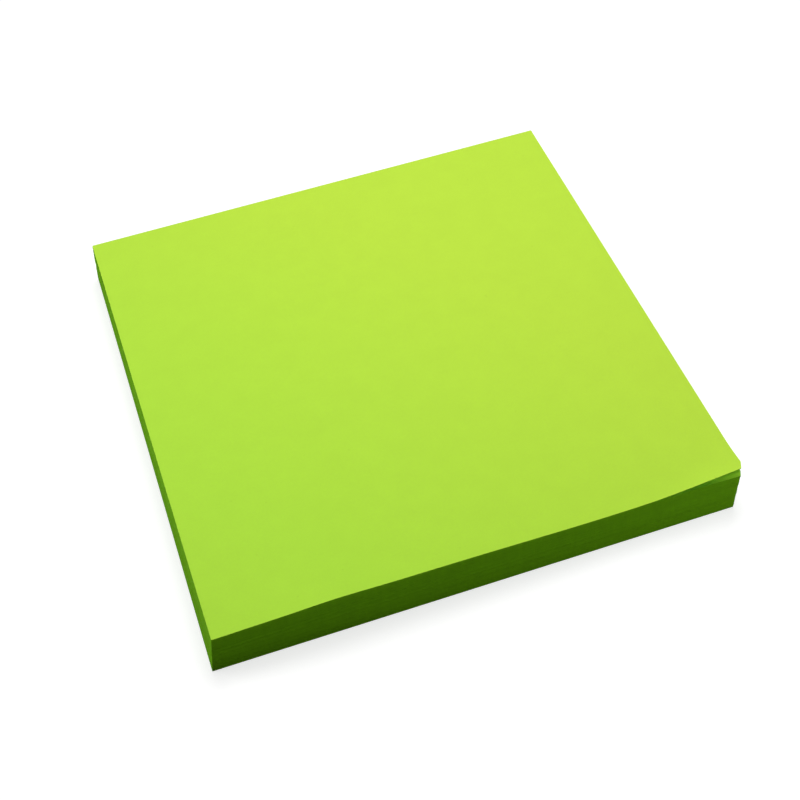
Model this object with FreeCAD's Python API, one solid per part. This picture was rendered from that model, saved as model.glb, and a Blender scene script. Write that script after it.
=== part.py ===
"""Sticky note pad: a square pile of notes on a backing sheet, glued along one edge.

The near edge, at -Y, is the free one. The far edge, at +Y, is the glued one, which binds the pad.
The origin is the middle of the underside of the backing sheet, and Z is up. Lengths are millimetres.
"""

import FreeCAD, Part
import math
import os

# One note
note_width = 76.0
note_depth = 76.0
note_thickness = 0.09

# The pile of notes
note_count = 80
# How far the top note lies from the bottom one, because the pile was cut and packed slightly askew
lean_x = 0.7
lean_y = 0.55

# The curled corner of the top note, near and right
curl_run_near = 20.0  # along the near edge, from the corner to the start of the curl
curl_run_side = 6.0  # along the right edge, from the corner to the start of the curl
curl_lift = 0.8  # how high the corner stands over the flat part of the note
slit_start_gap = 0.05  # nearer to the start of the curl than this gap, the note still lies on the next

# The glue band between the last note and the backing sheet
glue_thickness = 0.03
glue_band_depth = 18.0
glue_band_margin = 2.0  # bare strip between the far edge and the band

# The backing sheet
backing_thickness = 0.15

# How far a cutting or trimming solid reaches past what it cuts
overshoot = 1.0

# Heights, from the underside up
backing_top = backing_thickness
notes_bottom = backing_top + glue_thickness
pile_height = note_count * note_thickness
notes_top = notes_bottom + pile_height
top_note_underside = notes_top - note_thickness

# The outline of the bottom note, round the origin
left = -note_width / 2
right = note_width / 2
near = -note_depth / 2
far = note_depth / 2


def rectangle(x_low, y_low, x_high, y_high, z):
    """A flat rectangular face at height z."""
    corners = [
        FreeCAD.Vector(x_low, y_low, z),
        FreeCAD.Vector(x_high, y_low, z),
        FreeCAD.Vector(x_high, y_high, z),
        FreeCAD.Vector(x_low, y_high, z),
    ]
    return Part.Face(Part.makePolygon(corners + corners[:1]))


def lean_at(z):
    """How far a note at height z lies from the bottom note."""
    share = (z - notes_bottom) / pile_height
    return FreeCAD.Vector(lean_x * share, lean_y * share, 0)


def leaning_prism(z_low, z_high):
    """All that lies inside the cut outline of the pile between two heights."""
    face = rectangle(left, near, right, far, z_low)
    face.translate(lean_at(z_low))
    rise = FreeCAD.Vector(0, 0, z_high - z_low) + lean_at(z_high) - lean_at(z_low)
    return face.extrude(rise)


class CornerCurl:
    """The cylindrical curl of the top note's corner, as sections square to its fold line."""

    def __init__(self):
        corner = FreeCAD.Vector(right, near, 0) + lean_at(notes_top)
        self.fold_start = corner - FreeCAD.Vector(curl_run_near, 0, 0)
        fold_end = corner + FreeCAD.Vector(0, curl_run_side, 0)
        self.fold_length = (fold_end - self.fold_start).Length
        self.along = (fold_end - self.fold_start) / self.fold_length
        self.outward = self.along.cross(FreeCAD.Vector(0, 0, 1))
        self.reach = (corner - self.fold_start).dot(self.outward)
        self.radius = (self.reach**2 + curl_lift**2) / (2 * curl_lift)

    def point(self, distance, z):
        """The point of a section at this distance from the fold line, at height z."""
        place = self.fold_start - self.along * overshoot + self.outward * distance
        return FreeCAD.Vector(place.x, place.y, z)

    def on_arc(self, distance, radius):
        """The point of an arc of this radius, round the curl's axis, at this distance."""
        axis_height = notes_top + self.radius
        return self.point(distance, axis_height - math.sqrt(radius**2 - distance**2))

    def sweep(self, edges):
        """The solid that a closed section makes when it runs along the whole fold line."""
        face = Part.Face(Part.Wire(edges))
        return face.extrude(self.along * (self.fold_length + 2 * overshoot))

    def room(self):
        """The flat corner that the top note has left by curling up."""
        end = self.reach + overshoot
        low = top_note_underside
        high = notes_top + overshoot
        corners = [self.point(0, low), self.point(end, low), self.point(end, high), self.point(0, high)]
        return self.sweep(Part.makePolygon(corners + corners[:1]).Edges)

    def leaf(self):
        """The curled paper, with the wedge beside the fold where it still lies on the next note."""
        inner = self.radius
        outer = self.radius + note_thickness
        end = min(self.reach + overshoot, inner)
        slit_start = math.sqrt(outer**2 - (outer - slit_start_gap) ** 2)
        middle = (slit_start + end) / 2
        fold_top = self.point(0, notes_top)
        fold_bottom = self.point(0, top_note_underside)
        slit_bottom = self.point(slit_start, top_note_underside)
        slit_top = self.on_arc(slit_start, outer)
        underside = Part.Arc(slit_top, self.on_arc(middle, outer), self.on_arc(end, outer))
        upper_side = Part.Arc(self.on_arc(end, inner), self.on_arc(end / 2, inner), fold_top)
        return self.sweep(
            [
                Part.LineSegment(fold_top, fold_bottom).toShape(),
                Part.LineSegment(fold_bottom, slit_bottom).toShape(),
                Part.LineSegment(slit_bottom, slit_top).toShape(),
                underside.toShape(),
                Part.LineSegment(self.on_arc(end, outer), self.on_arc(end, inner)).toShape(),
                upper_side.toShape(),
            ]
        )


def note_sheets():
    """Every note of the pad as one solid, with the top note's corner curled up off the next."""
    curl = CornerCurl()
    pile = leaning_prism(notes_bottom, notes_top).cut(curl.room())
    trim = leaning_prism(top_note_underside, notes_top + curl_lift + overshoot)
    corner = curl.leaf().common(trim)
    return pile.fuse(corner).removeSplitter()


def adhesive_strip():
    """The glue band under the last note, near the far edge and as wide as the pad."""
    band_far = far - glue_band_margin
    face = rectangle(left, band_far - glue_band_depth, right, band_far, backing_top)
    return face.extrude(FreeCAD.Vector(0, 0, glue_thickness))


def backing_sheet():
    """The stiffer sheet that closes the pad below."""
    return rectangle(left, near, right, far, 0).extrude(FreeCAD.Vector(0, 0, backing_thickness))


def main():
    os.makedirs("parts", exist_ok=True)
    for piece in (note_sheets, adhesive_strip, backing_sheet):
        piece().exportStep(f"parts/{piece.__name__}.step")


main()
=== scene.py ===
"""A square pad of lime green sticky notes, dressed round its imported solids.

The near edge, at -Y, is the free one, and the far edge, at +Y, is the glued one. Lengths are metres.
"""

import math

import bpy
import numpy as np
from bpy.props import FloatProperty, FloatVectorProperty, IntProperty, PointerProperty
from bpy.types import Operator, Panel, PropertyGroup
from mathutils import Matrix, Vector


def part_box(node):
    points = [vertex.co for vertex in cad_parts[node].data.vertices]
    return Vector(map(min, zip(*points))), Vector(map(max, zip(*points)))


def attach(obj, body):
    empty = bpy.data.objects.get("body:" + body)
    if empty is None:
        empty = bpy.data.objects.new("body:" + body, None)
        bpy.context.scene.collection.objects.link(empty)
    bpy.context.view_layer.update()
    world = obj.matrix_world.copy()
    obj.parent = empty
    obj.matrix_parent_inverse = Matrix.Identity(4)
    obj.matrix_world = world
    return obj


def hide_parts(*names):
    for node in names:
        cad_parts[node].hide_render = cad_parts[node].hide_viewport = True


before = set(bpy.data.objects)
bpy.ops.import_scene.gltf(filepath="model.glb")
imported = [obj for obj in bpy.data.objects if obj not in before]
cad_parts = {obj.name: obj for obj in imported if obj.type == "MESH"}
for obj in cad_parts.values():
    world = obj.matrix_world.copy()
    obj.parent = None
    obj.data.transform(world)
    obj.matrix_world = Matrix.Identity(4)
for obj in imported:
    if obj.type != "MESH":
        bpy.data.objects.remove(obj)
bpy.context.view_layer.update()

bl_info = {
    "name": "Sticky Note Pad",
    "version": (1, 0, 0),
    "blender": (4, 5, 0),
    "location": "3D View > Sidebar > Note Pad",
    "description": "Builds a square pad of sticky notes with a curled top note, and the stage it lies on",
    "category": "Object",
}

MM = 0.001
BODY = "root"

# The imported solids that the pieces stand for
PILE_LOW, PILE_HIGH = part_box("note_sheets")
BACKING_LOW, BACKING_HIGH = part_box("backing_sheet")
HALF_WIDTH = (BACKING_HIGH.x - BACKING_LOW.x) / 2
HALF_DEPTH = (BACKING_HIGH.y - BACKING_LOW.y) / 2

# The lean of the whole pile, from the solid's box. Its right side leans on up to the curled corner.
LEAN_SLOPE_X = (PILE_HIGH.x - HALF_WIDTH) / (PILE_HIGH.z - PILE_LOW.z)
LEAN_Y = PILE_HIGH.y - HALF_DEPTH

# Sockets of the colour mix node, which has several of each name
MIX_FACTOR, MIX_A, MIX_B, MIX_RESULT = 0, 6, 7, 2

# Cloudy noise seldom goes lower or higher than this
NOISE_RANGE = (0.3, 0.7)

# Material slots of each piece of paper
FACE, EDGE = 0, 1

# The cut edge of a sheet by itself has the tone of half way through a note, clear of the painted shade of
# any groove
EDGE_MIDDLE = 0.5

# Linear RGBA, the same in sRGB
BLACK = (0.0, 0.0, 0.0, 1.0)
WHITE = (1.0, 1.0, 1.0, 1.0)


def linear(hex_colour):
    """Linear RGBA of an sRGB colour in hex."""
    shares = [int(hex_colour[start : start + 2], 16) / 255 for start in (0, 2, 4)]
    return [c / 12.92 if c <= 0.04045 else ((c + 0.055) / 1.055) ** 2.4 for c in shares] + [1.0]


class NotePadSizes(PropertyGroup):
    """The sizes that a user would change."""

    note_count: IntProperty(
        name="Notes",
        description="How many notes the pile holds, with the top one",
        default=80,
        min=2,
    )
    note_thickness: FloatProperty(
        name="Note thickness",
        description="Thickness of one note",
        default=0.09 * MM,
        precision=5,
        unit="LENGTH",
    )
    curl_run_near: FloatProperty(
        name="Curl along near edge",
        description="From the curled corner to the start of its curl, along the near edge",
        default=20.0 * MM,
        precision=4,
        unit="LENGTH",
    )
    curl_run_side: FloatProperty(
        name="Curl along side",
        description="From the curled corner to the start of its curl, along the right edge",
        default=6.0 * MM,
        precision=4,
        unit="LENGTH",
    )
    edge_crest: FloatProperty(
        name="Edge crest",
        description="How far the free edge of the top notes rises in a wave on its left part",
        default=0.36 * MM,
        precision=5,
        unit="LENGTH",
    )
    edge_dip: FloatProperty(
        name="Edge dip",
        description="How far the free edge of the pile sinks on its right part, under the curled corner",
        default=0.70 * MM,
        precision=5,
        unit="LENGTH",
    )
    turn: FloatProperty(
        name="Turn",
        description="How far the top note is turned on the lowest one",
        default=math.radians(0.29),
        precision=4,
        unit="ROTATION",
    )
    groove_depth: FloatProperty(
        name="Groove depth",
        description="Depth of the groove between two cut edges",
        default=0.018 * MM,
        precision=6,
        unit="LENGTH",
    )


class NotePadColours(PropertyGroup):
    """The colours that a user would change."""

    # Painted light: the top note's colour shifts from this one at the far right to the next one, greener,
    # at the near left, where less light falls
    note_face: FloatVectorProperty(
        name="Note face",
        description="Colour of the top note where light has faded its dye most, at the far right",
        subtype="COLOR",
        size=3,
        default=linear("BCE33D")[:3],
        min=0,
        max=1,
    )
    # Painted light: the greener colour of the top note at its near left, where less light falls
    near_left_painted_face: FloatVectorProperty(
        name="Fresh face",
        description="Colour of the top note where its dye is least faded, at the near left",
        subtype="COLOR",
        size=3,
        default=linear("B4E93D")[:3],
        min=0,
        max=1,
    )
    # Painted shade: the faces of the notes under the top one are darkened to this colour, which shows deep
    # under the curl
    painted_shade_face: FloatVectorProperty(
        name="Sheltered face",
        description="Colour of a note that the ones above it kept from the light",
        subtype="COLOR",
        size=3,
        default=linear("6CB404")[:3],
        min=0,
        max=1,
    )
    # Painted light: the second note is lighter with this colour by the curled corner, where light gets in
    # under the curl
    painted_light_face: FloatVectorProperty(
        name="Half faded face",
        description="Colour of the second note by its corner, where light gets in under the curl",
        subtype="COLOR",
        size=3,
        default=linear("A4E92C")[:3],
        min=0,
        max=1,
    )
    # Partly the deeper look of cut paper edges, partly painted shade on the pile's shaded sides
    note_edge: FloatVectorProperty(
        name="Cut edges",
        description="Colour of the pile's cut edges, deeper than the face",
        subtype="COLOR",
        size=3,
        default=linear("609B00")[:3],
        min=0,
        max=1,
    )
    backing: FloatVectorProperty(
        name="Backing sheet",
        description="Colour of the coated backing paper",
        subtype="COLOR",
        size=3,
        default=linear("A8D43D")[:3],
        min=0,
        max=1,
    )
    glue: FloatVectorProperty(
        name="Glue",
        description="Colour of the glue's beads",
        subtype="COLOR",
        size=3,
        default=linear("DFE3C8")[:3],
        min=0,
        max=1,
    )


class NotePadStage(PropertyGroup):
    """The camera and the strength of the light."""

    lens: FloatProperty(
        name="Lens",
        description="Focal length of the camera",
        default=62.64,
        unit="CAMERA",
    )
    key_power: FloatProperty(
        name="Key light",
        description="Power of the large soft light above the glued edge, in watts",
        default=0.40,
        min=0,
    )
    left_power: FloatProperty(
        name="Left fill",
        description="Power of the low soft light on the left, in watts",
        default=1.43,
        min=0,
    )
    right_power: FloatProperty(
        name="Right fill",
        description="Power of the low soft light at the near right, in watts",
        default=0.142,
        min=0,
    )
    surround: FloatProperty(
        name="Surround",
        description="Brightness of the dim room round the pad",
        default=0.08,
        min=0,
    )


def opaque(colour):
    """RGBA of a linear RGB colour."""
    return [*colour[:3], 1.0]


def per_mm(size):
    """The texture scale at which one feature of a pattern is this many millimetres across."""
    return 1 / (size * MM)


def add_node(tree, kind, inputs=None, **settings):
    """A new node. Its inputs, by name or place, each take a value, an output or a node's first output."""
    node = tree.nodes.new(kind)
    for name, value in settings.items():
        setattr(node, name, value)
    for key, value in (inputs or {}).items():
        if isinstance(value, bpy.types.Node):
            value = value.outputs[0]
        if isinstance(value, bpy.types.NodeSocket):
            tree.links.new(value, node.inputs[key])
        else:
            node.inputs[key].default_value = value
    return node


def new_material(name):
    """A material, its node tree, and the output that gives a point's place in the row frame, in metres."""
    material = bpy.data.materials.new(name)
    material.use_nodes = True
    tree = material.node_tree
    tree.nodes.clear()
    place = add_node(tree, "ShaderNodeTexCoord").outputs["Object"]
    return material, tree, place


def mottled(tree, colour, *patterns):
    """The colour, darkened by patterns.

    With each pattern come its tones at the low and the high end of its range, and then the range, if it
    isn't the usual one of noise.
    """
    for pattern, low_tone, high_tone, *ends in patterns:
        low, high = ends or NOISE_RANGE
        tone = add_node(
            tree,
            "ShaderNodeMapRange",
            {"Value": pattern, "From Min": low, "From Max": high, "To Min": low_tone, "To Max": high_tone},
        )
        colour = add_node(
            tree,
            "ShaderNodeMix",
            {MIX_FACTOR: 1.0, MIX_A: colour, MIX_B: tone},
            data_type="RGBA",
            blend_type="MULTIPLY",
        ).outputs[MIX_RESULT]
    return colour


def finish_paper(tree, colour, relief, roughness, ior, gloss):
    """Gives paper its surface, whose sheen grows with ior and gloss.

    relief is a pattern with its strength and its height in metres. roughness is a pattern with the
    roughness at the low and the high end of the usual range of noise.
    """
    relief_pattern, strength, height = relief
    rough_pattern, smoothest, roughest = roughness
    low, high = NOISE_RANGE
    rough = add_node(
        tree,
        "ShaderNodeMapRange",
        {
            "Value": rough_pattern,
            "From Min": low,
            "From Max": high,
            "To Min": smoothest,
            "To Max": roughest,
        },
    )
    bump = add_node(
        tree, "ShaderNodeBump", {"Strength": strength, "Distance": height, "Height": relief_pattern}
    )
    shader = add_node(
        tree,
        "ShaderNodeBsdfPrincipled",
        {
            "Base Color": colour,
            "Roughness": rough,
            "IOR": ior,
            "Specular IOR Level": gloss,
            "Normal": bump,
        },
    )
    add_node(tree, "ShaderNodeOutputMaterial", {"Surface": shader})


def painted_light_of_top_note(tree, place):
    """The share of painted light on the top note, which turns greener towards its near left corner, where
    less light falls.
    """
    least_lit_way = (-0.79, -0.62, 0.0)
    # Going that way from the middle, the painted light is full up to most_at, and least past least_at
    most_at, least_at = -19 * MM, 35 * MM
    towards = add_node(
        tree, "ShaderNodeVectorMath", {0: place, 1: least_lit_way}, operation="DOT_PRODUCT"
    ).outputs["Value"]
    return add_node(
        tree, "ShaderNodeMapRange", {"Value": towards, "From Min": least_at, "From Max": most_at}
    )


def painted_light_under_curl(tree, place):
    """The share of painted light on the second note, by its near right corner where light gets in under
    the curl; elsewhere it has the painted shade.
    """
    # Along the near edge the painted light starts this far from the corner, and is full this near to it
    light_start, light_full = 5.5 * MM, 1.2 * MM
    # In from the near edge it is full down to full_depth, and past shade_depth there is only painted shade
    full_depth, shade_depth = 0.7 * MM, 1.25 * MM
    corner_x, near_y = PILE_HIGH.x, LEAN_Y - HALF_DEPTH
    across = add_node(tree, "ShaderNodeSeparateXYZ", {0: place}).outputs
    along = add_node(
        tree,
        "ShaderNodeMapRange",
        {"Value": across["X"], "From Min": corner_x - light_start, "From Max": corner_x - light_full},
    )
    inward = add_node(
        tree,
        "ShaderNodeMapRange",
        {"Value": across["Y"], "From Min": near_y + shade_depth, "From Max": near_y + full_depth},
    )
    return add_node(tree, "ShaderNodeMath", {0: along, 1: inward}, operation="MULTIPLY")


def dyed_note_paper(name, faded, fresh, fading):
    """Uncoated wood-free paper, dyed through and calendered: matt, with faint clouds of fibre, and with
    painted light and shade in its colour.
    """
    material, tree, place = new_material(name)
    # Painted light and shade: fading gives the share of the more lit colour, faded, over the less lit one,
    # fresh
    dye = add_node(
        tree,
        "ShaderNodeMix",
        {MIX_FACTOR: fading(tree, place), MIX_A: fresh, MIX_B: faded},
        data_type="RGBA",
    ).outputs[MIX_RESULT]
    # The clouds of fibre that show when such a sheet is held to the light are 2 to 4 mm across
    clouds = add_node(tree, "ShaderNodeTexNoise", {"Vector": place, "Scale": per_mm(3.0), "Detail": 3.0})
    # Fibres are 0.02 mm wide: drawn coarser, as flecks of 0.3 mm, so that they show
    fibres = add_node(
        tree,
        "ShaderNodeTexNoise",
        {"Vector": place, "Scale": per_mm(0.3), "Detail": 2.0, "Roughness": 0.7},
    )
    # Here and there a fibre took more dye: a speck is where this noise is at its highest
    specks = add_node(tree, "ShaderNodeTexNoise", {"Vector": place, "Scale": per_mm(0.9), "Detail": 1.0})
    speck_rim, speck_middle = 0.78, 0.82
    colour = mottled(
        tree,
        dye,
        (clouds, 0.975, 1.0),
        (fibres, 0.97, 1.0),
        (specks, 1.0, 0.95, speck_rim, speck_middle),
    )
    finish_paper(
        tree,
        colour,
        relief=(fibres, 0.35, 0.012 * MM),
        roughness=(fibres, 0.82, 0.92),
        ior=1.5,
        gloss=0.35,
    )
    return material


def top_note_paper(name, faded, fresh):
    """The paper of the note that lies open to the light, with painted light shifting its colour."""
    return dyed_note_paper(name, faded, fresh, painted_light_of_top_note)


def painted_shade_note_paper(name, faded, fresh):
    """The paper of the notes under the top one, darkened with painted shade, and lighter by the curled
    corner with painted light.
    """
    return dyed_note_paper(name, faded, fresh, painted_light_under_curl)


def guillotined_paper_edge(name, edge_colour):
    """The cut edges of a pressed pile, deeper in colour than the face: partly as cut paper edges look,
    partly painted shade.
    """
    material, tree, place = new_material(name)
    number = add_node(tree, "ShaderNodeAttribute", attribute_name="sheet_number").outputs["Fac"]
    sheet = add_node(tree, "ShaderNodeMath", {0: number}, operation="FLOOR")
    across = add_node(tree, "ShaderNodeMath", {0: number}, operation="FRACT")
    # Each note's edge is a little lighter or darker than the next
    own = add_node(tree, "ShaderNodeTexWhiteNoise", {"W": sheet}, noise_dimensions="1D")
    # Runs of about ten notes lie a little lighter or darker too
    run = add_node(
        tree, "ShaderNodeTexNoise", {"W": number, "Scale": 0.1, "Detail": 2.0}, noise_dimensions="1D"
    )
    # The knife leaves upright strokes about half a millimetre apart
    drawn_out = (1.0, 1.0, 0.06)
    upright = add_node(tree, "ShaderNodeMapping", {"Vector": place, "Scale": drawn_out})
    strokes = add_node(
        tree,
        "ShaderNodeTexNoise",
        {"Vector": upright, "Scale": per_mm(0.5), "Detail": 2.0, "Roughness": 0.6},
    )
    # Cut fibres are 0.02 mm wide: drawn coarser, as a fuzz of 0.12 mm, so that it shows
    fuzz = add_node(tree, "ShaderNodeTexNoise", {"Vector": place, "Scale": per_mm(0.12), "Detail": 1.0})
    # From 0 in the groove between two notes to 0.5 half way through a note: painted shade darkens the
    # groove, and ends at shade_end
    depth = add_node(tree, "ShaderNodeMath", {0: across, 1: 0.5}, operation="PINGPONG")
    shade_end = 0.2
    colour = mottled(
        tree,
        edge_colour,
        (own, 0.92, 1.0, 0.0, 1.0),
        (run, 0.95, 1.0),
        (strokes, 0.92, 1.0),
        (fuzz, 0.95, 1.0),
        (depth, 0.72, 1.0, 0.0, shade_end),
    )
    finish_paper(
        tree,
        colour,
        relief=(strokes, 0.4, 0.02 * MM),
        roughness=(fuzz, 0.88, 0.98),
        ior=1.5,
        gloss=0.1,
    )
    return material


def release_coated_paper(name, backing_colour):
    """Dyed kraft paper with a thin silicone coat: smoother and a little glossier than a note."""
    material, tree, place = new_material(name)
    # The clouds of fibre are larger than in a note, because the sheet is thicker
    clouds = add_node(tree, "ShaderNodeTexNoise", {"Vector": place, "Scale": per_mm(4.0), "Detail": 3.0})
    # Kraft fibres are 0.03 mm wide: drawn coarser, as flecks of 0.35 mm, so that they show
    fibres = add_node(
        tree,
        "ShaderNodeTexNoise",
        {"Vector": place, "Scale": per_mm(0.35), "Detail": 2.0, "Roughness": 0.7},
    )
    finish_paper(
        tree,
        mottled(tree, backing_colour, (clouds, 0.95, 1.0), (fibres, 0.96, 1.0)),
        relief=(fibres, 0.3, 0.01 * MM),
        roughness=(clouds, 0.42, 0.55),
        ior=1.45,
        gloss=0.5,
    )
    return material


def low_tack_adhesive(name, glue_colour):
    """Tiny beads of acrylic in a thin coat: milky, and satin rather than glossy."""
    material, tree, place = new_material(name)
    between_beads = linear("C6CBB0")
    # The beads are 0.03 mm across: drawn coarser, at 0.2 mm, so that they show
    grain = add_node(
        tree,
        "ShaderNodeTexNoise",
        {"Vector": place, "Scale": per_mm(0.2), "Detail": 2.0, "Roughness": 0.8},
    )
    beads = add_node(tree, "ShaderNodeMapRange", {"Value": grain, "From Min": 0.35, "From Max": 0.65})
    colour = add_node(
        tree,
        "ShaderNodeMix",
        {MIX_FACTOR: beads, MIX_A: between_beads, MIX_B: glue_colour},
        data_type="RGBA",
    ).outputs[MIX_RESULT]
    rough = add_node(tree, "ShaderNodeMapRange", {"Value": beads, "To Min": 0.35, "To Max": 0.5})
    shader = add_node(
        tree, "ShaderNodeBsdfPrincipled", {"Base Color": colour, "Roughness": rough, "IOR": 1.47}
    )
    add_node(tree, "ShaderNodeOutputMaterial", {"Surface": shader})
    return material


def note_outline(per_side):
    """Points round a note, anticlockwise from its near left corner, closer together at each corner."""
    evenness = 0.15
    even = np.linspace(0, 1, per_side, endpoint=False)
    share = evenness * (2 * even - 1) - (1 - evenness) * np.cos(math.pi * even)
    one = np.ones(per_side)
    x = np.concatenate([share, one, -share, -one]) * HALF_WIDTH
    y = np.concatenate([-one, share, one, -share]) * HALF_DEPTH
    return np.stack([x, y], 1)


def shrunk(line, inset):
    """The line pulled in by an inset, which is one length or one for each point."""
    half = np.abs(line).max(0)
    return line * (1 - np.reshape(inset, (-1, 1)) / half)


def closing_insets(count):
    """The insets of the rings that close a flat face, the last of which is nearly a point."""
    innermost = 0.02
    return (1 - np.linspace(1, innermost, count + 1)[1:]) * HALF_WIDTH


def smooth_step(value):
    """0 below 0, 1 above 1, and a smooth rise between."""
    held = np.clip(value, 0, 1)
    return held * held * (3 - 2 * held)


def blunted(line, share):
    """The line with its near right corner worn off, at a share of the full wear."""
    if share == 0:
        return line
    wear_x = 0.6 * MM * share
    wear_y = 1.3 * MM * share
    from_right = (HALF_WIDTH - line[:, 0]) / wear_x
    from_near = (line[:, 1] + HALF_DEPTH) / wear_y
    # What lies past the straight cut across the corner moves onto it
    worn = from_right + from_near < 1
    x = np.where(worn, HALF_WIDTH - wear_x * (1 + from_right - from_near) / 2, line[:, 0])
    y = np.where(worn, wear_y * (1 - from_right + from_near) / 2 - HALF_DEPTH, line[:, 1])
    return np.stack([x, y], 1)


def ring_skin(rings):
    """Faces of a closed skin over a stack of rings of as many points each, from the lowest up."""
    count, points = rings.shape[:2]
    first = np.arange(points)
    after = np.roll(first, -1)
    low = (np.arange(count - 1) * points)[:, None]
    high = low + points
    walls = np.stack([low + first, low + after, high + after, high + first], 2)
    ends = [first[::-1].tolist(), (first + (count - 1) * points).tolist()]
    return walls.reshape(-1, 4).tolist() + ends


def build_mesh(name, points, faces, materials, face_material):
    """A smooth shaded mesh object, sharp where faces meet at a large angle."""
    sharp_angle = math.radians(50)
    mesh = bpy.data.meshes.new(name)
    mesh.from_pydata(np.reshape(points, (-1, 3)).tolist(), [], faces)
    for material in materials:
        mesh.materials.append(material)
    mesh.polygons.foreach_set("material_index", np.asarray(face_material, np.int32))
    mesh.polygons.foreach_set("use_smooth", np.ones(len(mesh.polygons), bool))
    mesh.set_sharp_from_angle(angle=sharp_angle)
    mesh.validate()
    mesh.update()
    piece = bpy.data.objects.new(name, mesh)
    bpy.context.scene.collection.objects.link(piece)
    return piece


def number_sheets(piece, numbers):
    """Tells the cut edge's material each point's place among the notes."""
    attribute = piece.data.attributes.new("sheet_number", "FLOAT", "POINT")
    attribute.data.foreach_set("value", np.asarray(numbers, np.float32))


def edge_fade(y):
    """1 at the free edge, and less and less towards the glued edge, which is held flat."""
    fade = 13 * MM
    return np.exp(-np.maximum(y + HALF_DEPTH, 0) / fade)


def crest_rise(x, y, sizes):
    """How far the top notes rise at the wave in their free edge, less a droop of their left corner."""
    crest_place, crest_width = -21 * MM, 6.5 * MM
    droop, droop_width = 0.12 * MM, 4 * MM
    crest = sizes.edge_crest * np.exp(-(((x - crest_place) / crest_width) ** 2))
    return (crest - droop * np.exp(-(((x + HALF_WIDTH) / droop_width) ** 2))) * edge_fade(y)


def dip_rise(x, y, sizes):
    """How far the top notes sink along the right part of their free edge, as a rise below zero."""
    dip_start, dip_run = -12 * MM, 32 * MM
    return -sizes.edge_dip * smooth_step((x - dip_start) / dip_run) * edge_fade(y)


def twist_rise(x, y):
    """How far the top of the pile rises at the far right, and sinks at the far left."""
    twist = 0.30 * MM
    return twist * x / HALF_WIDTH * (y + HALF_DEPTH) / (2 * HALF_DEPTH)


def corner_droop(x, y):
    """How far the pile sinks at its near right corner, which the curled note no longer holds."""
    depth = 0.32 * MM
    reach = 4.5 * MM
    distance = (x - HALF_WIDTH) ** 2 + (y + HALF_DEPTH) ** 2
    return -depth * np.exp(-distance / reach**2)


def lean(height, sizes):
    """How far the pile leans over at a height above its lowest note."""
    pile_height = sizes.note_count * sizes.note_thickness
    return np.array([LEAN_SLOPE_X * height, LEAN_Y * height / pile_height])


def loose_gaps(line, sheets, rng):
    """Extra depth of the grooves where notes have parted, for each groove and each point of the line."""
    gap_count = 26
    depth = 0.032 * MM
    # How wide a parted place is, as a share of the way round the pile
    narrowest, widest = 0.02, 0.10
    steps = np.linalg.norm(np.roll(line, -1, 0) - line, axis=1)
    along = (np.cumsum(steps) - steps) / steps.sum()
    extra = np.zeros((sheets + 1, len(line)))
    for _ in range(gap_count):
        groove = rng.integers(2, sheets - 1)
        centre = rng.uniform(0, 1)
        width = rng.uniform(narrowest, widest)
        away = np.abs(along - centre)
        away = np.minimum(away, 1 - away)
        extra[groove] += depth * np.exp(-((away / width) ** 2))
    # The glue holds the notes together along the far edge
    free = np.sqrt(np.clip((HALF_DEPTH - line[:, 1]) / (2 * HALF_DEPTH), 0, 1))
    return np.minimum(extra, depth) * free


def pile_rings(sizes):
    """The rings of the pile under the top note, and the place of each among the notes, from 0 up.

    Last come the counts of the rings that close the pile below and above.
    """
    rng = np.random.default_rng(11)
    sheets = sizes.note_count - 1
    line = note_outline(per_side=48)
    # Each note lies a little off the next, and now and then a whole run of notes has slipped
    offset_spread, slip_spread, slip_chance = 0.008 * MM, 0.03 * MM, 0.1
    turn_spread = math.radians(0.0115)
    offsets = rng.normal(0, offset_spread, (sheets, 2))
    slipped = rng.random((sheets, 2)) < slip_chance
    slips = np.cumsum(np.where(slipped, rng.normal(0, slip_spread, (sheets, 2)), 0), 0)
    offsets += slips - np.linspace(0, 1, sheets)[:, None] * slips[-1]
    turns = rng.normal(0, turn_spread, sheets)
    gaps = loose_gaps(line, sheets, rng)

    # The notes under the top one are less worn, and their rise and fall dies out towards the floor
    top_wear = 0.65
    rise_power = 1.6

    def ring(number, inset, note):
        """One ring at a place among the notes, with the offset of one note."""
        up = number / sheets
        flat = shrunk(blunted(line, top_wear * up), inset)
        x, y = flat[:, 0], flat[:, 1]
        height = number * sizes.note_thickness
        wave = crest_rise(x, y, sizes) + dip_rise(x, y, sizes)
        rise = (wave + corner_droop(x, y) + twist_rise(x, y)) * up**rise_power
        turn = turns[note] + sizes.turn * up
        shift = offsets[note] + lean(height, sizes)
        return np.stack(
            [
                x - y * turn + shift[0],
                y + x * turn + shift[1],
                PILE_LOW.z + height + rise,
            ],
            1,
        )

    # Between these shares of its thickness a note's cut edge stands upright
    upright_start, upright_end = 0.25, 0.75
    rings, numbers = [], []
    for note in range(sheets):
        depth = sizes.groove_depth + gaps[note]
        rings.append((ring(note, depth, note) + ring(note, depth, max(note - 1, 0))) / 2)
        rings += [ring(note + share, 0, note) for share in (upright_start, upright_end)]
        numbers += [note, note + upright_start, note + upright_end]
    rings.append(ring(sheets, sizes.groove_depth, sheets - 1))
    numbers.append(sheets)

    # The faces above and below are rings that close in on the middle. The flat one below needs fewer.
    insets = closing_insets(21)
    coarser = 4
    below = [ring(0, inset, 0) for inset in insets[::-coarser]]
    above = [ring(sheets, inset, sheets - 1) for inset in insets]
    numbers = [0] * len(below) + numbers + [sheets] * len(above)
    return np.array(below + rings + above), np.array(numbers, float), len(below), len(above)


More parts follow.
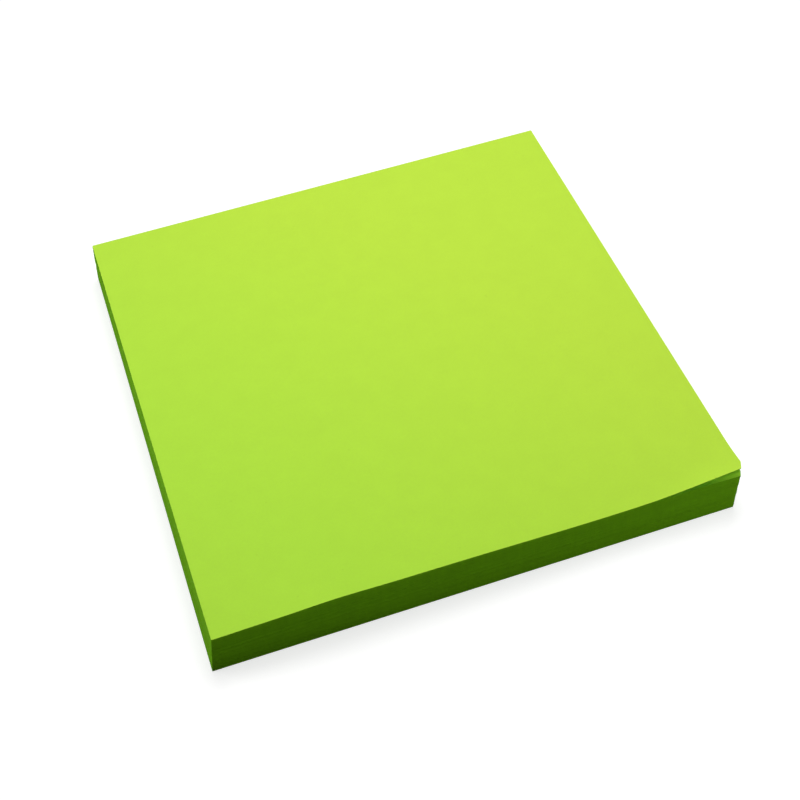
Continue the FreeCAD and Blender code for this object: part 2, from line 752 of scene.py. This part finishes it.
def note_pile(sizes, colours):
    """Every note but the top one, as one pressed block with a groove between each two cut edges."""
    rings, numbers, below, above = pile_rings(sizes)
    points = rings.shape[1]
    faces = ring_skin(rings)
    face_material = np.full(len(faces), EDGE)
    face_material[: below * points] = FACE
    face_material[(len(rings) - 1 - above) * points :] = FACE
    materials = face_and_edge("painted_shade_note_paper", colours)
    piece = build_mesh("note_pile", rings, faces, materials, face_material)
    number_sheets(piece, np.repeat(numbers, points))
    return piece


def curled(x, y, sizes, lift):
    """Where the points of the flat top note go when its near right corner curls up on a round cylinder.

    Returns the new x and y, the rise, and the direction square to the paper.
    """
    fold_start = np.array([HALF_WIDTH - sizes.curl_run_near, -HALF_DEPTH])
    along = np.array([sizes.curl_run_near, sizes.curl_run_side])
    along /= np.linalg.norm(along)
    outward = np.array([along[1], -along[0]])
    reach = sizes.curl_run_near * outward[0]
    radius = (reach**2 + lift**2) / (2 * lift)
    distance = np.maximum((x - fold_start[0]) * outward[0] + (y - fold_start[1]) * outward[1], 0)
    angle = distance / radius
    back = radius * np.sin(angle) - distance
    rise = radius * (1 - np.cos(angle))
    square = np.stack([-np.sin(angle) * outward[0], -np.sin(angle) * outward[1], np.cos(angle)], -1)
    return x + back * outward[0], y + back * outward[1], rise, square


def top_note(sizes, colours):
    """The top note: one sheet that lies on the pile and curls up off it at its near right corner."""
    clearance = 0.004 * MM
    ring_count = 52
    span_run = 15 * MM
    pile_height = sizes.note_count * sizes.note_thickness
    note_bottom = PILE_LOW.z + pile_height - sizes.note_thickness
    lift = PILE_HIGH.z - PILE_LOW.z - pile_height
    line = blunted(note_outline(per_side=90), 1)
    # The rings lie closer together towards the edge, and the innermost is nearly a point
    evenness, last_inset = 0.35, 0.99
    even = np.linspace(0, 1, ring_count)
    insets = (evenness * even + (last_inset - evenness) * even**2) * HALF_WIDTH
    x, y = np.moveaxis(np.array([shrunk(line, inset) for inset in insets]), 2, 0)
    # Stiff in its curl, the note spans the dip of the pile on its right
    spanned = smooth_step((x - (HALF_WIDTH - span_run)) / span_run)
    rise = crest_rise(x, y, sizes) + dip_rise(x, y, sizes) * (1 - spanned) + twist_rise(x, y)
    bent_x, bent_y, curl_rise, square = curled(x, y, sizes, lift)
    shift = lean(pile_height, sizes)
    lower = np.stack(
        [
            bent_x - bent_y * sizes.turn + shift[0],
            bent_y + bent_x * sizes.turn + shift[1],
            note_bottom + clearance + rise + curl_rise,
        ],
        -1,
    )
    upper = lower + square * (sizes.note_thickness - clearance)
    rings = np.concatenate([lower[::-1], upper])
    faces = ring_skin(rings)
    points = rings.shape[1]
    face_material = np.full(len(faces), FACE)
    face_material[(ring_count - 1) * points : ring_count * points] = EDGE
    materials = face_and_edge("dyed_note_paper", colours)
    piece = build_mesh("top_note", rings, faces, materials, face_material)
    number_sheets(piece, np.full(len(rings) * points, sizes.note_count - 1 + EDGE_MIDDLE))
    return piece


def backing_paper(colours):
    """The backing sheet, with its cut edge slightly rounded."""
    rounding = 0.03 * MM
    line = note_outline(per_side=30)
    points = len(line)
    low, high = BACKING_LOW.z, BACKING_HIGH.z
    insets = closing_insets(7)
    cut_edge = [(rounding, low), (0, low + rounding), (0, high - rounding), (rounding, high)]
    profile = [(inset, low) for inset in insets[::-1]] + cut_edge + [(inset, high) for inset in insets]
    rings = np.array([np.column_stack([shrunk(line, inset), np.full(points, z)]) for inset, z in profile])
    faces = ring_skin(rings)
    face_material = np.full(len(faces), FACE)
    edge_start = len(insets) * points
    face_material[edge_start : edge_start + (len(cut_edge) - 1) * points] = EDGE
    materials = face_and_edge("release_coated_paper", colours)
    piece = build_mesh("backing_paper", rings, faces, materials, face_material)
    number_sheets(piece, np.full(len(rings) * points, EDGE_MIDDLE))
    return piece


def shared_material(name, colours):
    """The material of this name, made when it is first asked for."""
    makers = {
        "dyed_note_paper": (top_note_paper, colours.note_face, colours.near_left_painted_face),
        "painted_shade_note_paper": (painted_shade_note_paper, colours.painted_light_face, colours.painted_shade_face),
        "guillotined_paper_edge": (guillotined_paper_edge, colours.note_edge),
        "release_coated_paper": (release_coated_paper, colours.backing),
        "low_tack_acrylic_adhesive": (low_tack_adhesive, colours.glue),
    }
    maker, *shades = makers[name]
    return bpy.data.materials.get(name) or maker(name, *map(opaque, shades))


def face_and_edge(face_name, colours):
    """The two materials of a sheet or pile, by slot: its face, and its cut edges."""
    return [shared_material(name, colours) for name in (face_name, "guillotined_paper_edge")]


def set_down(piece, node):
    """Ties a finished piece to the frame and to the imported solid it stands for."""
    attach(piece, BODY)
    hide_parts(node)


def seen_directly(tree):
    """1 for what the camera, a reflection or a clear body shows, and 0 for light on its way."""
    path = add_node(tree, "ShaderNodeLightPath").outputs
    seen = path["Is Camera Ray"]
    for ray in ("Is Glossy Ray", "Is Transmission Ray"):
        seen = add_node(tree, "ShaderNodeMath", {0: seen, 1: path[ray]}, operation="MAXIMUM")
    return seen


def seen_floor(tree, place):
    """What is seen of the floor: paint that shows the pad's shadow, and further out plain white."""
    paint_colour = linear("B4B4B4")
    paint_end, white_start = 70 * MM, 160 * MM
    near_glow = 0.74
    distance = add_node(tree, "ShaderNodeVectorMath", {0: place}, operation="LENGTH").outputs["Value"]
    whiteness = add_node(
        tree, "ShaderNodeMapRange", {"Value": distance, "From Min": paint_end, "From Max": white_start}
    )
    glow = add_node(tree, "ShaderNodeMapRange", {"Value": whiteness, "To Min": near_glow})
    paint = add_node(
        tree,
        "ShaderNodeMix",
        {MIX_FACTOR: whiteness, MIX_A: paint_colour, MIX_B: BLACK},
        data_type="RGBA",
    ).outputs[MIX_RESULT]
    near_pad = add_node(tree, "ShaderNodeBsdfDiffuse", {"Color": paint})
    lit_up = add_node(tree, "ShaderNodeEmission", {"Color": WHITE, "Strength": glow})
    return add_node(tree, "ShaderNodeAddShader", {0: near_pad, 1: lit_up})


def bouncing_floor(tree, place):
    """What lights the pad: its sides darken downwards, so the floor by them gives back less light."""
    bounce_colour = linear("F8F8F8")
    dark_run = 18 * MM
    aside = add_node(tree, "ShaderNodeVectorMath", {0: place}, operation="ABSOLUTE")
    across = add_node(tree, "ShaderNodeSeparateXYZ", {0: aside}).outputs
    from_middle = add_node(tree, "ShaderNodeMath", {0: across["X"], 1: across["Y"]}, operation="MAXIMUM")
    share = add_node(
        tree,
        "ShaderNodeMapRange",
        {"Value": from_middle, "From Min": HALF_WIDTH, "From Max": HALF_WIDTH + dark_run},
    )
    bounce = add_node(
        tree, "ShaderNodeMix", {MIX_FACTOR: share, MIX_A: BLACK, MIX_B: bounce_colour}, data_type="RGBA"
    ).outputs[MIX_RESULT]
    return add_node(tree, "ShaderNodeBsdfDiffuse", {"Color": bounce})


def pale_floor():
    """A pale matt floor, which fades into the white background and keeps the pad's shadow."""
    half = 2.0
    below_pad = 0.02 * MM
    corners = [(-half, -half), (half, -half), (half, half), (-half, half)]
    points = [(x, y, BACKING_LOW.z - below_pad) for x, y in corners]
    material, tree, place = new_material("pale_floor_paint")
    shader = add_node(
        tree,
        "ShaderNodeMixShader",
        {0: seen_directly(tree), 1: bouncing_floor(tree, place), 2: seen_floor(tree, place)},
    )
    add_node(tree, "ShaderNodeOutputMaterial", {"Surface": shader})
    floor = build_mesh("floor", points, [[0, 1, 2, 3]], [material], [0])


def soft_light(name, place, size, power):
    """A square area light that points at the pad."""
    data = bpy.data.lights.new(name, "AREA")
    data.shape = "SQUARE"
    data.size = size
    data.energy = power
    light = bpy.data.objects.new(name, data)
    light.location = place
    light.rotation_euler = (-Vector(place)).to_track_quat("-Z", "Y").to_euler()
    bpy.context.scene.collection.objects.link(light)


def white_surround(brightness):
    """A room that looks white and lights the pad dimly from all round."""
    world = bpy.data.worlds.new("surround")
    bpy.context.scene.world = world
    world.use_nodes = True
    tree = world.node_tree
    tree.nodes.clear()
    strength = add_node(tree, "ShaderNodeMapRange", {"Value": seen_directly(tree), "To Min": brightness})
    background = add_node(tree, "ShaderNodeBackground", {"Color": WHITE, "Strength": strength})
    add_node(tree, "ShaderNodeOutputWorld", {"Surface": background})


def photograph_camera(lens):
    """The camera of the photograph: a little left of the near edge, looking down at the pad."""
    azimuth = math.radians(-17.267)
    elevation = math.radians(51.233)
    roll = math.radians(-2.369)
    distance = 212.75 * MM
    aside = 1.186 * MM
    above = -2.384 * MM
    back = Vector(
        (
            math.sin(azimuth) * math.cos(elevation),
            -math.cos(azimuth) * math.cos(elevation),
            math.sin(elevation),
        )
    )
    level = Vector((0, 0, 1)).cross(back).normalized()
    upright = back.cross(level)
    right = math.cos(roll) * level + math.sin(roll) * upright
    up = math.cos(roll) * upright - math.sin(roll) * level
    data = bpy.data.cameras.new("camera")
    data.lens = lens
    data.sensor_width = 36
    data.clip_start = 0.01
    camera = bpy.data.objects.new("camera", data)
    turned = Matrix((right, up, back)).transposed().to_4x4()
    camera.matrix_world = Matrix.Translation(right * aside + up * above + back * distance) @ turned
    bpy.context.scene.collection.objects.link(camera)
    bpy.context.scene.camera = camera


class NOTEPAD_OT_note_pile(Operator):
    """Build the pile of notes under the top one"""

    bl_idname = "notepad.note_pile"
    bl_label = "Note Pile"

    def execute(self, context):
        piece = note_pile(context.scene.note_pad_sizes, context.scene.note_pad_colours)
        set_down(piece, "note_sheets")
        return {"FINISHED"}


class NOTEPAD_OT_top_note(Operator):
    """Build the top note with its curled corner"""

    bl_idname = "notepad.top_note"
    bl_label = "Top Note"

    def execute(self, context):
        piece = top_note(context.scene.note_pad_sizes, context.scene.note_pad_colours)
        set_down(piece, "note_sheets")
        return {"FINISHED"}


class NOTEPAD_OT_backing(Operator):
    """Build the backing sheet, and finish the glue band that holds it"""

    bl_idname = "notepad.backing"
    bl_label = "Backing Sheet and Glue"

    def execute(self, context):
        colours = context.scene.note_pad_colours
        set_down(backing_paper(colours), "backing_sheet")
        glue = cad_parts["adhesive_strip"]
        glue.material_slots[0].material = shared_material("low_tack_acrylic_adhesive", colours)
        return {"FINISHED"}


class NOTEPAD_OT_stage(Operator):
    """Make the floor, the light and the camera"""

    bl_idname = "notepad.stage"
    bl_label = "Stage"

    def execute(self, context):
        stage = context.scene.note_pad_stage
        pale_floor()
        white_surround(stage.surround)
        soft_light("key_light", place=(0.03, 0.055, 0.21), size=0.13, power=stage.key_power)
        soft_light("left_fill", place=(-0.35, 0.12, 0.035), size=0.20, power=stage.left_power)
        soft_light("right_fill", place=(0.14, -0.125, 0.018), size=0.08, power=stage.right_power)
        photograph_camera(stage.lens)
        context.scene.view_settings.view_transform = "Standard"
        return {"FINISHED"}


class NOTEPAD_PT_panel(Panel):
    """The sizes and colours of the pad, and the steps that build it"""

    bl_label = "Note Pad"
    bl_idname = "NOTEPAD_PT_panel"
    bl_space_type = "VIEW_3D"
    bl_region_type = "UI"
    bl_category = "Note Pad"

    def draw(self, context):
        for group_name in GROUPS:
            group = getattr(context.scene, group_name)
            box = self.layout.box()
            for name in group.__annotations__:
                box.prop(group, name)
        for operator in OPERATORS:
            self.layout.operator(operator.bl_idname)


GROUPS = {
    "note_pad_sizes": NotePadSizes,
    "note_pad_colours": NotePadColours,
    "note_pad_stage": NotePadStage,
}
OPERATORS = (NOTEPAD_OT_note_pile, NOTEPAD_OT_top_note, NOTEPAD_OT_backing, NOTEPAD_OT_stage)


def register():
    for kind in (*GROUPS.values(), *OPERATORS, NOTEPAD_PT_panel):
        bpy.utils.register_class(kind)
    for name, group in GROUPS.items():
        setattr(bpy.types.Scene, name, PointerProperty(type=group))


def unregister():
    for name in GROUPS:
        delattr(bpy.types.Scene, name)
    for kind in (NOTEPAD_PT_panel, *OPERATORS, *GROUPS.values()):
        bpy.utils.unregister_class(kind)


def main():
    """Builds the pad and its stage."""
    register()
    bpy.ops.notepad.note_pile()
    bpy.ops.notepad.top_note()
    bpy.ops.notepad.backing()
    bpy.ops.notepad.stage()


if __name__ == "__main__":
    main()
